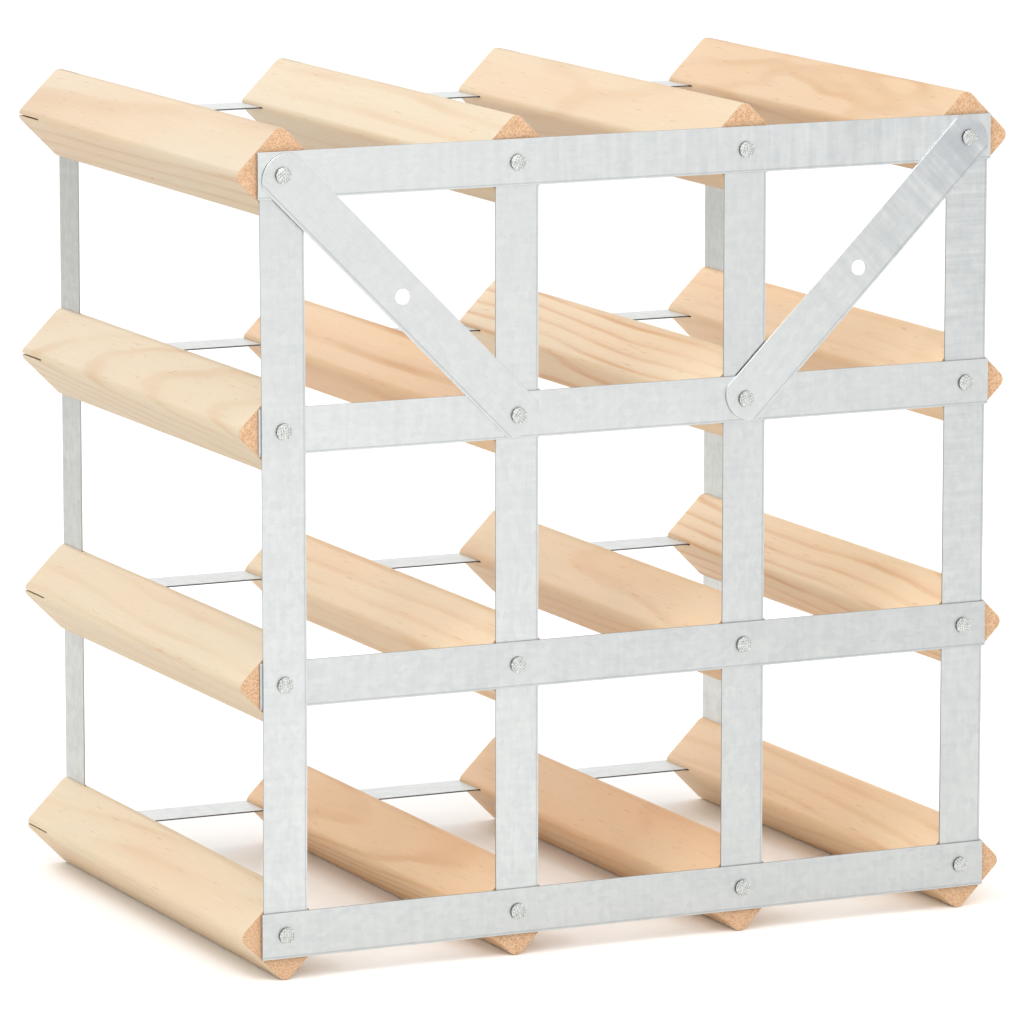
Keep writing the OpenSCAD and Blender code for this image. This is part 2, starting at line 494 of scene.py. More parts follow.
@dataclass(frozen=True)
class GalvanisedSteel:
    """Mild steel strip, hot-dip galvanised in the coil, slit to width and cut to length.

    It gives the eye a pale, cool, satin grey, mottled by a faint spangle of zinc crystals, with
    soft streaks along the strip and grey specks. Where it is worn it is duller, with scratches
    and bands across it. One long edge is rolled over a little, with a faint grey line of painted
    shade beside it. The cut edges take a colour of their own, partly bare steel and partly painted
    light: darker painted shade on the straps and strips, a bright painted highlight on the braces.
    Each strip carries its own place, its wear, and a painted shading that makes it lighter or
    darker along its length, to stand for light that falls on it unevenly.
    """

    name: str
    zinc: str = "D1D3D1"
    zinc_dull: str = "C8CBCB"
    zinc_worn: str = "B7BBC0"
    speck: str = "9DA2A3"
    cut_edge_with_painted_light: str = "9DA09F"
    edges_face_y: bool = False
    roughness: float = 0.42
    rubbing: float = 0.16
    # Where the turned edge lies across the strip, and how dark its line of painted shade is
    rolled_at: float = -8.2 * MM
    rolled_edge_painted_shade: float = 0.5

    # Widths along and across the strip
    ragged: tuple[float, float] = (1.4 * MM, 1.4 * MM)
    spangle: tuple[float, float] = (2.99 * MM, 2.3 * MM)
    streak: tuple[float, float] = (16 * MM, 1.1 * MM)
    cloud: tuple[float, float] = (30 * MM, 14 * MM)
    oxide: tuple[float, float] = (0.9 * MM, 0.7 * MM)
    scratch: tuple[float, float] = (0.6 * MM, 22 * MM)
    scratch_patch: tuple[float, float] = (34 * MM, 40 * MM)
    band: tuple[float, float] = (2.6 * MM, 30 * MM)
    worn_patch: tuple[float, float] = (9 * MM, 9 * MM)

    def build(self) -> bpy.types.Material:
        """Builds the material."""
        material, add = new_material(self.name)
        place, look = (
            add("Attribute", attribute_name=name).outputs["Vector"]
            for name in ("strip_place", "strip_tone")
        )
        painted_shading, wear, _ = add("SeparateXYZ", (look,)).outputs

        def scaled(along: float, across: float) -> bpy.types.Node:
            """Places scaled to one unit per feature along and across the strip."""
            scale = (1 / along, 1 / across, 1 / across)
            return add("VectorMath", (place, scale), operation="MULTIPLY")

        def noise(size: tuple[float, float], detail: float = 2.0) -> bpy.types.Node:
            """Noise about half, with features of a width along and across the strip."""
            return add("TexNoise", {"Vector": scaled(*size), "Scale": 1.0, "Detail": detail})

        # Spangle: each crystal takes a shade of its own, and its edge is broken up by noise
        ragged = add("VectorMath", {0: noise(self.ragged).outputs["Color"], 3: 0.8}, operation="SCALE")
        crystal_at = add("VectorMath", (scaled(*self.spangle), ragged), operation="ADD")
        crystal = add("TexVoronoi", {"Vector": crystal_at, "Scale": 1.0, "Randomness": 1.0})
        crystal_shade = add("SeparateColor", (crystal.outputs["Color"],))
        streak = noise(self.streak)
        mottle = add("Math", (streak, 0.55), operation="MULTIPLY")
        mottle = add("Math", (crystal_shade, 0.5, mottle), operation="MULTIPLY_ADD")
        mottle = add("Math", (noise(self.cloud), 0.5, mottle), operation="MULTIPLY_ADD")
        dullness = add("MapRange", (mottle, 0.45, 1.15))
        bright, dull = linear(self.zinc), linear(self.zinc_dull)
        zinc = add("Mix", {"Factor": dullness, 6: bright, 7: dull}, data_type="RGBA")

        # Small grey specks of oxide
        specks = add("MapRange", (noise(self.oxide), 0.66, 0.76, 0.0, 0.30))
        zinc = add("Mix", {"Factor": specks, 6: zinc, 7: linear(self.speck)}, data_type="RGBA")

        # Scratches and wide bands run across a worn strip, which is duller in patches
        scratch = add("MapRange", (noise(self.scratch), 0.50, 0.75, 0.0, 0.3))
        rubbed = add("MapRange", (noise(self.scratch_patch, 1.0), 0.45, 0.6))
        scratch = add("Math", (scratch, rubbed), operation="MULTIPLY")
        scratch = add("Math", (scratch, wear), operation="MULTIPLY", use_clamp=True)
        zinc = add("Mix", {"Factor": scratch, 6: zinc, 7: linear(self.speck)}, data_type="RGBA")
        band = noise(self.band, 3.0)
        band = add("MapRange", (band, 0.32, 0.68, -self.rubbing, self.rubbing))
        worn = add("Math", (wear, 0.0), operation="MAXIMUM")
        band = add("Math", (band, worn, 1.0), operation="MULTIPLY_ADD")
        zinc = add("VectorMath", {0: zinc, 3: band}, operation="SCALE")
        patch = add("MapRange", (noise(self.worn_patch, 3.0), 0.35, 0.65, 0.1, 0.9))
        much = add("Math", (worn, worn), operation="MULTIPLY")
        patch = add("Math", (patch, much), operation="MULTIPLY", use_clamp=True)
        zinc = add("Mix", {"Factor": patch, 6: zinc, 7: linear(self.zinc_worn)}, data_type="RGBA")

        # The slitter turns one long edge over a little; the faint grey line beside it is painted shade
        across = add("SeparateXYZ", (place,)).outputs["Y"]
        off = add("Math", (across, self.rolled_at), operation="SUBTRACT")
        off = add("Math", (off,), operation="ABSOLUTE")
        rolled = add("MapRange", (off, 0.10 * MM, 0.40 * MM, self.rolled_edge_painted_shade, 0.0))
        zinc = add("Mix", {"Factor": rolled, 6: zinc, 7: linear(self.speck)}, data_type="RGBA")
        # Painted shading: the whole strip is made lighter or darker along its length, to stand for uneven
        # light
        zinc = add("VectorMath", {0: zinc, 3: painted_shading}, operation="SCALE")

        # The cut edges take a colour of their own: partly bare steel, partly painted shade, and on the
        # braces a painted highlight
        facing = add("SeparateXYZ", (add("TexCoord").outputs["Normal"],)).outputs["Y"]
        facing = add("Math", (facing,), operation="ABSOLUTE")
        from_face, to_edge = (0.4, 0.8) if self.edges_face_y else (0.8, 0.4)
        bare_and_painted_edge = add("MapRange", (facing, from_face, to_edge))
        zinc = add("Mix", {"Factor": bare_and_painted_edge, 6: zinc, 7: linear(self.cut_edge_with_painted_light)}, data_type="RGBA")

        low, high = self.roughness - 0.06, self.roughness + 0.07
        roughness = add("MapRange", (mottle, 0.4, 1.3, low, high))
        relief = add("Math", (crystal_shade, 0.5, streak), operation="MULTIPLY_ADD")
        bump = add("Bump", {"Strength": 0.15, "Distance": 0.02 * MM, "Height": relief})
        surface = add(
            "BsdfPrincipled", {"Base Color": zinc, "Metallic": 1.0, "Roughness": roughness, "Normal": bump}
        )
        add("OutputMaterial", {"Surface": surface})
        return material


@dataclass(frozen=True)
class NailZinc:
    """Forged steel nail with a rough galvanised coat, its head pressed with a lattice.

    It gives the eye bright ridges, hollows between them darkened by painted shade, and a dark
    rim of painted shade where the head's side is turned from the light. The nail carries its own place,
    head upwards.
    """

    # The ridges' colour, the hollows' painted shade and the side's painted shade
    ridge: str = "DADCD9"
    hollow_painted_shade: str = "A3A5A2"
    rim: str = "4C4E4D"
    roughness: float = 0.36
    grit: float = 0.6 * MM
    pitch: float = 1.0 * MM

    def build(self) -> bpy.types.Material:
        """Builds the material."""
        material, add = new_material("galvanised_nail")
        place = add("Attribute", attribute_name="nail_place").outputs["Vector"]
        grit = add("TexNoise", {"Vector": place, "Scale": 1 / self.grit, "Detail": 3.0})
        turned = add("VectorMath", (place, (math.pi / self.pitch,) * 3), operation="MULTIPLY")
        wave = add("VectorMath", (turned,), operation="COSINE")
        x, y, _ = add("SeparateXYZ", (wave,)).outputs
        lattice = add("Math", (x, y), operation="MULTIPLY")
        lattice = add("Math", (lattice,), operation="ABSOLUTE")
        # Painted shade: the hollows of the lattice are coloured darker than the ridges
        raised = add("Math", (grit, 5.0, lattice), operation="MULTIPLY_ADD")
        raised = add("MapRange", (raised, 2.2, 3.6))
        hollow_painted_shade, ridge = linear(self.hollow_painted_shade), linear(self.ridge)
        colour = add("Mix", {"Factor": raised, 6: hollow_painted_shade, 7: ridge}, data_type="RGBA")

        # The head's side is painted dark as painted shade, but for the grit that is rubbed bright
        facing = add("SeparateXYZ", (add("TexCoord").outputs["Normal"],)).outputs["Y"]
        facing = add("Math", (facing,), operation="ABSOLUTE")
        side = add("MapRange", (facing, 0.75, 0.35))
        rubbed = add("MapRange", (grit, 0.60, 0.52))
        side = add("Math", (side, rubbed), operation="MULTIPLY")
        colour = add("Mix", {"Factor": side, 6: colour, 7: linear(self.rim)}, data_type="RGBA")
        bump = add("Bump", {"Strength": 0.5, "Distance": 0.12 * MM, "Height": grit})
        look = {"Base Color": colour, "Metallic": 1.0, "Roughness": self.roughness, "Normal": bump}
        add("OutputMaterial", {"Surface": add("BsdfPrincipled", look)})
        return material


# ---- The frame's own measures ----


@dataclass(frozen=True)
class Grid:
    """Where the bars lie, and the faces that the straps and strips sit on."""

    columns: tuple[float, ...]
    rows: tuple[float, ...]
    rear: float
    front: float
    reach: float
    strap_thickness: float
    strip_thickness: float

    @classmethod
    def read(cls, nodes: dict[str, bpy.types.Object]) -> Grid:
        """Reads the grid from the frame.

        Args:
            nodes: The frame's nodes, by name.

        Returns:
            The grid, with row 1 at the top and column 1 at -X.
        """
        def middle(name: str) -> Vector:
            """The middle of a node's box."""
            low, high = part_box(name)
            return (low + high) / 2

        bars = [name for name in nodes if name.startswith("bar_")]
        columns = sorted({int(name[-1]) for name in bars})
        rows = sorted({int(name[5]) for name in bars})
        low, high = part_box("bar_r1_c1")
        strap_low, strap_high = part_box("rear_strap_row_1")
        strip_low, strip_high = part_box("front_strip_row_1")
        return cls(
            columns=tuple(middle(f"bar_r1_c{c}").x for c in columns),
            rows=tuple(middle(f"bar_r{r}_c1").z for r in rows),
            rear=low.y,
            front=high.y,
            reach=(high.x - low.x) / 2,
            strap_thickness=strap_high.y - strap_low.y,
            strip_thickness=strip_high.z - strip_low.z,
        )

    def crossings(self) -> Iterator[tuple[int, int]]:
        """Every crossing, as a row and a column counted from 1."""
        for row in range(1, len(self.rows) + 1):
            for column in range(1, len(self.columns) + 1):
                yield row, column

    def point(self, row: int, column: int, y: float = 0.0) -> Vector:
        """The centre line of a bar, at a place along it."""
        return Vector((self.columns[column - 1], y, self.rows[row - 1]))

    def runs(self, y: float) -> Iterator[tuple[Run, int, Matrix]]:
        """Every line of bars: which way it runs, its number, and where a strip along it lies.

        Args:
            y: The face that the strip sits on.

        Yields:
            The rows and then the columns, each with the place of a strip modelled along +X.
        """
        for row, z in enumerate(self.rows, 1):
            yield Run.ROW, row, Matrix.Translation((0, y, z))
        for column, x in enumerate(self.columns, 1):
            yield Run.COLUMN, column, Matrix.Translation((x, y, 0)) @ UPRIGHT

    def stops(self, run: Run) -> list[float]:
        """Where a strip crosses the others, in order: from -X, or from the floor."""
        return list(self.columns) if run is Run.ROW else sorted(self.rows)

    def is_braced(self, row: int, column: int) -> bool:
        """Whether the end of a brace lies on this crossing."""
        last = len(self.columns)
        return (row == 1 and column in (1, last)) or (row == 2 and column in (2, last - 1))

    def row_layer(self, row: int, column: int) -> int:
        """0 where a row's strap lies on the wood, 1 where it passes over the column's strap."""
        return 0 if column == 1 and 1 < row < len(self.rows) else 1


# ---- Sub-assemblies ----


@dataclass(frozen=True)
class BarLook:
    """How one bar was cut from its tree, and how much painted light it takes.

    The pith lies at an angle round the bar's length, in degrees from +X towards +Z, and at a
    distance from its centre line; the lean moves it further off per metre along the bar.
    Warmth and figure run from 0 to 1, and lengths are in millimetres. Light is painted light,
    about 1: lower for the bars along the top and the left, where the light falls most, and
    higher for the rest, which sit in more shade.
    """

    warmth: float
    light: float
    figure: float
    ring: float
    wander: float
    angle: float
    distance: float
    lean: float = 0.02


@dataclass
class Bars:
    """Sixteen square bars, each on edge, with crossed saw kerfs in the front end."""

    grid: Grid
    edge_round: float = 3.5 * MM
    rear_ease: float = 0.3 * MM
    front_ease: float = 0.8 * MM
    kerf_depth: float = 22 * MM
    kerf_gap: float = 0.05 * MM
    bore_radius: float = 1.45 * MM
    bore_depth: float = 34 * MM
    seed: int = 11

    # For each bar, in reading order: plain, straight-lined, cathedral and wavy cuts; the second number is
    # the bar's painted light
    looks: tuple[BarLook, ...] = (
        BarLook(0.13, 0.82, 0.48, 7.5, 3, -60, 42),
        BarLook(0.00, 0.90, 0.34, 8.0, 3, 100, 60, 0.01),
        BarLook(0.26, 0.90, 0.32, 10.0, 14, -45, 34, 0.05),
        BarLook(0.50, 0.88, 0.55, 10.0, 26, -45, 48, 0.04),
        BarLook(0.04, 0.87, 0.38, 7.0, 10, 146, 44, 0.13),
        BarLook(0.60, 1.02, 0.80, 13.0, 4, 76, 50, 0.0),
        BarLook(0.10, 1.10, 0.78, 6.2, 6, 66, 45, 0.02),
        BarLook(0.40, 1.11, 0.30, 4.8, 4, 5, 60),
        BarLook(0.06, 0.90, 0.25, 7.0, 5, 100, 60),
        BarLook(0.18, 1.12, 0.34, 6.4, 3, 20, 50, 0.0),
        BarLook(0.28, 1.06, 0.40, 7.0, 10, -30, 44, 0.03),
        BarLook(0.22, 1.14, 0.76, 5.6, 6, 100, 42, 0.03),
        BarLook(0.14, 0.93, 0.28, 5.0, 5, 150, 45),
        BarLook(0.70, 1.03, 0.66, 5.0, 6, 128, 50, -0.06),
        BarLook(0.62, 1.03, 0.50, 8.0, 14, -45, 48, 0.03),
        BarLook(0.40, 1.12, 0.42, 6.0, 6, 15, 46, 0.01),
    )

    def model_blank(self) -> bpy.types.Object:
        """Models one bar, on edge about the Y axis.

        Returns:
            The bar that all the others are copied from.
        """
        grid = self.grid
        half = (grid.reach - self.edge_round) / math.sqrt(2) + self.edge_round
        blank = add_block(
            "bar_blank", Vector((-half, grid.rear, -half)), Vector((half, grid.front, half))
        )
        with edit_mode(blank):
            select(blank, Element.EDGE, lambda e: abs(e.verts[0].co.y - e.verts[1].co.y) > half)
            bpy.ops.mesh.bevel(offset=self.edge_round, segments=7, profile=0.5, affect="EDGES")
            for end, ease in ((grid.rear, self.rear_ease), (grid.front, self.front_ease)):
                select(
                    blank, Element.EDGE,
                    lambda e: all(abs(v.co.y - end) < AT_END for v in e.verts) and len(e.link_faces) == 2,
                )
                bpy.ops.mesh.bevel(offset=ease, segments=3, profile=0.5, affect="EDGES")
            bpy.ops.mesh.select_all(action="SELECT")
            bpy.ops.transform.rotate(
                value=math.radians(45), orient_axis="Y", center_override=(0.0, 0.0, 0.0)
            )
        kerf = grid.strip_thickness / 2 + self.kerf_gap
        wide, bore = grid.reach * 1.2, Vector((0, grid.rear - OVER, 0))
        floor, mouth = grid.front - self.kerf_depth, grid.front + OVER
        cut_away(blank, [
            add_block("kerf_flat", Vector((-wide, floor, -kerf)), Vector((wide, mouth, kerf))),
            add_block("kerf_upright", Vector((-kerf, floor, -wide)), Vector((kerf, mouth, wide))),
            add_peg("nail_bore", self.bore_radius, bore, self.bore_depth + OVER),
        ])
        smooth_faces(blank)
        return blank

    def build(self, finish: bpy.types.Material) -> list[bpy.types.Object]:
        """Models, places and dresses every bar.

        Args:
            finish: The pine.

        Returns:
            The bars.
        """
        chance = random.Random(self.seed)
        blank = self.model_blank()
        bars = []
        for (row, column), look in zip(self.grid.crossings(), self.looks):
            name = f"bar_r{row}_c{column}"
            centre = self.grid.point(row, column)
            bar = copy_piece(blank, f"pine_{name}", Matrix.Translation(centre))
            angle = math.radians(look.angle)
            away = Vector((math.cos(angle), 0, math.sin(angle)))
            for mark, value in {
                "pith": centre + away * look.distance * MM,
                "lean": away * look.lean,
                "cut": Vector((look.warmth, look.figure, chance.uniform(0, 9))),
                # The rings' width and wander, with the bar's painted light
                "rings": Vector((look.ring * MM, look.wander * MM, look.light)),
            }.items():
                store_vector(bar, mark, lambda _, value=value: value)
            bars.append(finish_piece(bar, name, finish))
        bpy.data.objects.remove(blank)
        return bars


def smooth_step(t: float) -> float:
    """Rises from 0 to 1 with a level start and end."""
    t = min(max(t, 0.0), 1.0)
    return t * t * (3 - 2 * t)


@dataclass
class RearStraps:
    """Flat straps woven across the rear, pulled down by a nail at every crossing."""

    grid: Grid
    width: float = 18 * MM
    row_tail: float = 10 * MM
    column_tail: float = 8.5 * MM
    flat: float = 4 * MM
    station: float = 2.5 * MM
    across: int = 8
    slump: float = 0.22 * MM
    dish: float = 0.12 * MM
    dish_radius: float = 5 * MM
    edge_ease: float = 0.2 * MM
    seed: int = 23

    # Painted shading, for uneven light: how bright each strap is painted at its two ends, rows from -X,
    # columns from the floor
    row_painted_shading: tuple[Ends, ...] = ((1.00, 0.96), (1.01, 0.92), (0.94, 0.85), (0.94, 0.87))
    column_painted_shading: tuple[Ends, ...] = ((1.00, 0.95), (0.97, 0.98), (0.90, 0.95), (0.89, 0.94))

    # How rubbed each strap is at the same two ends
    row_wear: tuple[Ends, ...] = ((0.0, 0.6), (0.15, 0.15), (0.15, 0.15), (0.1, 0.15))
    column_wear: tuple[Ends, ...] = ((0.15, 0.15), (0.15, 0.15), (0.15, 0.15), (0.0, 0.6))

    def height(self, s: float, stops: list[float], layers: list[int]) -> float:
        """How far a strap's inner face stands off the wood at a place along it.

        Args:
            s: The place along the strap.
            stops: The places where it is nailed, in order.
            layers: The layer that it lies on at each stop.

        Returns:
            The height, between layer 0 and layer 1.
        """
        thickness = self.grid.strap_thickness
        hold = self.width / 2 + self.flat
        for start, end, low, high in zip(stops, stops[1:], layers, layers[1:]):
            if start < s < end:
                t = (s - start - hold) / (end - start - 2 * hold)
                slump = self.slump if low + high > 1 else 0.0
                sag = slump * math.sin(math.pi * min(max(t, 0), 1)) ** 2 if 0 < t < 1 else 0
                return thickness * (low + (high - low) * smooth_step(t)) - sag
        return thickness * (layers[0] if s < stops[0] else layers[-1])

    def model(self, name: str, stops: list[float], layers: list[int], tail: float) -> bpy.types.Object:
        """Models one strap along +X, with its inner face towards the wood at y = 0.

        Args:
            name: The strap's name.
            stops: Where it is nailed, in order.
            layers: The layer that it lies on at each stop.
            tail: How far it runs on past its last nails.

        Returns:
            The strap.
        """
        thickness = self.grid.strap_thickness
        length = stops[-1] - stops[0] + 2 * tail
        strap = add_sheet(name, length, self.width, round(length / self.station), self.across)
        middle = (stops[0] + stops[-1]) / 2
        for vertex in strap.data.vertices:
            s = vertex.co.x + middle
            nail = min(stops, key=lambda stop: abs(stop - s))
            off = math.hypot(s - nail, vertex.co.z)
            pressed = self.dish * math.exp(-((off / self.dish_radius) ** 2))
            vertex.co.x = s
            vertex.co.y = -(self.height(s, stops, layers) - pressed + thickness)
        thicken_sheet(strap, thickness)
        ease_edges(strap, self.edge_ease)
        return strap

    def build(self, finish: bpy.types.Material) -> list[bpy.types.Object]:
        """Models, places and dresses every strap.

        Args:
            finish: The zinc.

        Returns:
            The straps.
        """
        grid, chance = self.grid, random.Random(self.seed)
        straps = []
        for run, number, place in grid.runs(grid.rear):
            node = f"rear_strap_{run.value}_{number}"
            if run is Run.ROW:
                layers = [grid.row_layer(number, c) for c in range(1, len(grid.columns) + 1)]
                tail, tones, wear = self.row_tail, self.row_painted_shading, self.row_wear
            else:
                layers = [1 - grid.row_layer(r, number) for r in range(len(grid.rows), 0, -1)]
                tail, tones, wear = self.column_tail, self.column_painted_shading, self.column_wear
            strap = self.model(f"zinc_{node}", grid.stops(run), layers, tail)
            mark_strip(strap, chance.uniform(0, 9), tones[number - 1], wear[number - 1])
            strap.data.transform(place)
            straps.append(finish_piece(strap, node, finish))
        return straps


def add_sheet(name: str, length: float, width: float, along: int, across: int) -> bpy.types.Object:
    """Adds a fine flat sheet in the XZ plane, about the origin, facing -Y.

    Args:
        name: The sheet's name.
        length: Its size along X.
        width: Its size along Z.
        along: How many faces it has along X.
        across: How many faces it has along Z.

    Returns:
        The sheet.
    """
    return add_primitive(
        bpy.ops.mesh.primitive_grid_add, name, (length, width, 1),
        x_subdivisions=along, y_subdivisions=across, size=1, rotation=(math.pi / 2, 0, 0),
    )


def thicken_sheet(sheet: bpy.types.Object, thickness: float) -> None:
    """Gives a sheet that faces -Y its thickness, inwards from the side it shows."""
    apply_modifier(sheet, "SOLIDIFY", thickness=thickness, offset=-1.0, use_even_offset=False)


def mark_strip(
    strip: bpy.types.Object,
    seed: float,
    tones: Ends,
    wear: Ends = (0.15, 0.15),
    edge_on: bool = False,
) -> None:
    """Stores a strip's own places, painted shading and wear, while it still lies along X.

    Args:
        strip: The strip, along X and across Z, or across Y if it is edge-on.
        seed: Moves the pattern, so that no two strips match.
        tones: Painted shading, for uneven light: how bright it is, about 1, at its -X end and at its +X
            end.
        wear: How scratched it is, up to 1, at the same two ends. Below 0 it is not worn at all.
        edge_on: Whether the strip lies across Y.
    """
    ends = [vertex.co.x for vertex in strip.data.vertices]
    start, length = min(ends), max(ends) - min(ends)

    def painted_shading_at(co: Vector) -> Vector:
        """The painted shading and wear at a place."""
        share = (co.x - start) / length
        return Vector((*(low + (high - low) * share for low, high in (tones, wear)), 0))

    def place_at(co: Vector) -> Vector:
        """The place along, across and through the strip."""
        return Vector((co.x + seed, co.y if edge_on else co.z, seed))

    store_vector(strip, "strip_place", place_at)
    store_vector(strip, "strip_tone", painted_shading_at)


@dataclass
class Braces:
    """Two diagonal braces over the straps, each with rounded ends and a hole at its middle."""

    grid: Grid
    width: float = 18.5 * MM
    crown: float = 7.6 * MM
    corner: float = 5.3 * MM
    hole_radius: float = 3 * MM
    station: float = 2.0 * MM
    across: int = 10
    dish: float = 0.12 * MM
    dish_radius: float = 5 * MM
    bow: float = 0.35 * MM
    tip_lift: float = 0.3 * MM
    edge_ease: float = 0.2 * MM

    def end_curve(self, span: float, across: float) -> float:
        """How far from its middle a brace's edge lies, at a place across it."""
        end_radius = ((self.width / 2) ** 2 + self.corner**2) / (2 * self.corner)
        return span / 2 + self.crown - end_radius + math.sqrt(end_radius**2 - across**2)

    def pressed(self, x: float, z: float, span: float) -> float:
        """How far a brace is pressed in at a place: down at its nails, and up between and beyond."""
        off = math.hypot(abs(x) - span / 2, z)
        bow = self.bow * math.cos(math.pi * x / span) ** 2 if abs(x) < span / 2 else 0.0
        lift = self.tip_lift * smooth_step((abs(x) - span / 2) / self.crown)
        return self.dish * math.exp(-((off / self.dish_radius) ** 2)) - bow - lift

    def model(self, name: str, span: float) -> bpy.types.Object:
        """Models one brace along X about its middle, with its inner face at y = 0.

        Args:
            name: The brace's name.
            span: The distance between its nails.

        Returns:
            The brace.
        """
        thickness = self.grid.strap_thickness
        length = span + 2 * self.crown
        brace = add_sheet(name, length, self.width, round(length / self.station), self.across)
        shoulder = span / 2 - self.width / 2
        for vertex in brace.data.vertices:
            x, z = vertex.co.x, vertex.co.z
            if abs(x) > shoulder:
                share = (abs(x) - shoulder) / (length / 2 - shoulder)
                x = math.copysign(shoulder + share * (self.end_curve(span, z) - shoulder), x)
            vertex.co.x, vertex.co.y = x, self.pressed(x, z, span) - thickness
        thicken_sheet(brace, thickness)
        start = Vector((0, -thickness - OVER, 0))
        cut_away(brace, [add_peg("fixing_hole", self.hole_radius, start, thickness + 2 * OVER)])
        ease_edges(brace, self.edge_ease)
        return brace

    def build(self, finish: bpy.types.Material) -> list[bpy.types.Object]:
        """Models, places and dresses both braces.

        Args:
            finish: The zinc.

        Returns:
            The braces.
        """
        grid = self.grid
        last = len(grid.columns)
        braces = []
        # For each brace: its upper and lower crossings, its painted shading at each end, for uneven light,
        # and its wear
        ends = {
            "left": ((1, 1), (2, 2), (0.97, 0.97), (0.1, 0.1)),
            "right": ((1, last), (2, last - 1), (0.98, 0.91), (-0.3, 1.0)),
        }
        for side, (upper, lower, tones, wear) in ends.items():
            start, end = grid.point(*upper, y=grid.rear), grid.point(*lower, y=grid.rear)
            brace = self.model(f"zinc_brace_{side}", (end - start).length)
            mark_strip(brace, 3.0 + wear[1], tones, wear)
            run = end - start if side == "left" else start - end
            turn = Matrix.Rotation(-math.atan2(run.z, run.x), 4, "Y")
            middle = (start + end) / 2 - Vector((0, 2 * grid.strap_thickness, 0))
            brace.data.transform(Matrix.Translation(middle) @ turn)
            braces.append(finish_piece(brace, f"brace_{side}", finish))
        return braces


@dataclass
class FrontStrips:
    """Edge-on strips let into the kerfs, half-lapped where they cross inside the bars."""

    grid: Grid
    width: float = 20 * MM
    tail: float = 10 * MM
    lap_gap: float = 0.05 * MM
    edge_ease: float = 0.1 * MM
    seed: int = 31

    # Painted shading, for uneven light: how bright each strip is painted, a row all along, a column at the
    # floor and at its top, darker towards the top
    row_strip_painted_shading: float = 1.04
    column_painted_shading: tuple[Ends, ...] = ((0.82, 0.64), (0.84, 0.65), (0.86, 0.65), (0.92, 0.63))

    def model(self, name: str, stops: list[float], run: Run) -> bpy.types.Object:
        """Models one strip along X, lying flat, with its front edge at y = 0.

        Args:
            name: The strip's name.
            stops: Where it crosses the other strips, in order.
            run: A row strip is notched from the rear, and a column strip from the front.

        Returns:
            The strip.
        """
        half = self.grid.strip_thickness / 2
        strip = add_block(
            name, Vector((stops[0] - self.tail, -self.width, -half)),
            Vector((stops[-1] + self.tail, 0, half)),
        )
        notch = half + self.lap_gap
        low = -self.width - OVER if run is Run.ROW else -self.width / 2
        high = -self.width / 2 if run is Run.ROW else OVER
        cut_away(strip, [
            add_block(f"lap_{i}", Vector((s - notch, low, -OVER)), Vector((s + notch, high, OVER)))
            for i, s in enumerate(stops)
        ])
        ease_edges(strip, self.edge_ease)
        return strip

    def build(self, finishes: dict[Run, bpy.types.Material]) -> list[bpy.types.Object]:
        """Models, places and dresses every strip.

        Args:
            finishes: The zinc of the rows and of the columns.

        Returns:
            The strips.
        """
        grid, chance = self.grid, random.Random(self.seed)
        strips = []
        for run, number, place in grid.runs(grid.front):
            node = f"front_strip_{run.value}_{number}"
            strip = self.model(f"zinc_{node}", grid.stops(run), run)
            tones = (self.row_strip_painted_shading,) * 2 if run is Run.ROW else self.column_painted_shading[number - 1]
            mark_strip(strip, chance.uniform(0, 9), tones, edge_on=True)
            strip.data.transform(place)
            strips.append(finish_piece(strip, node, finishes[run]))
        return strips


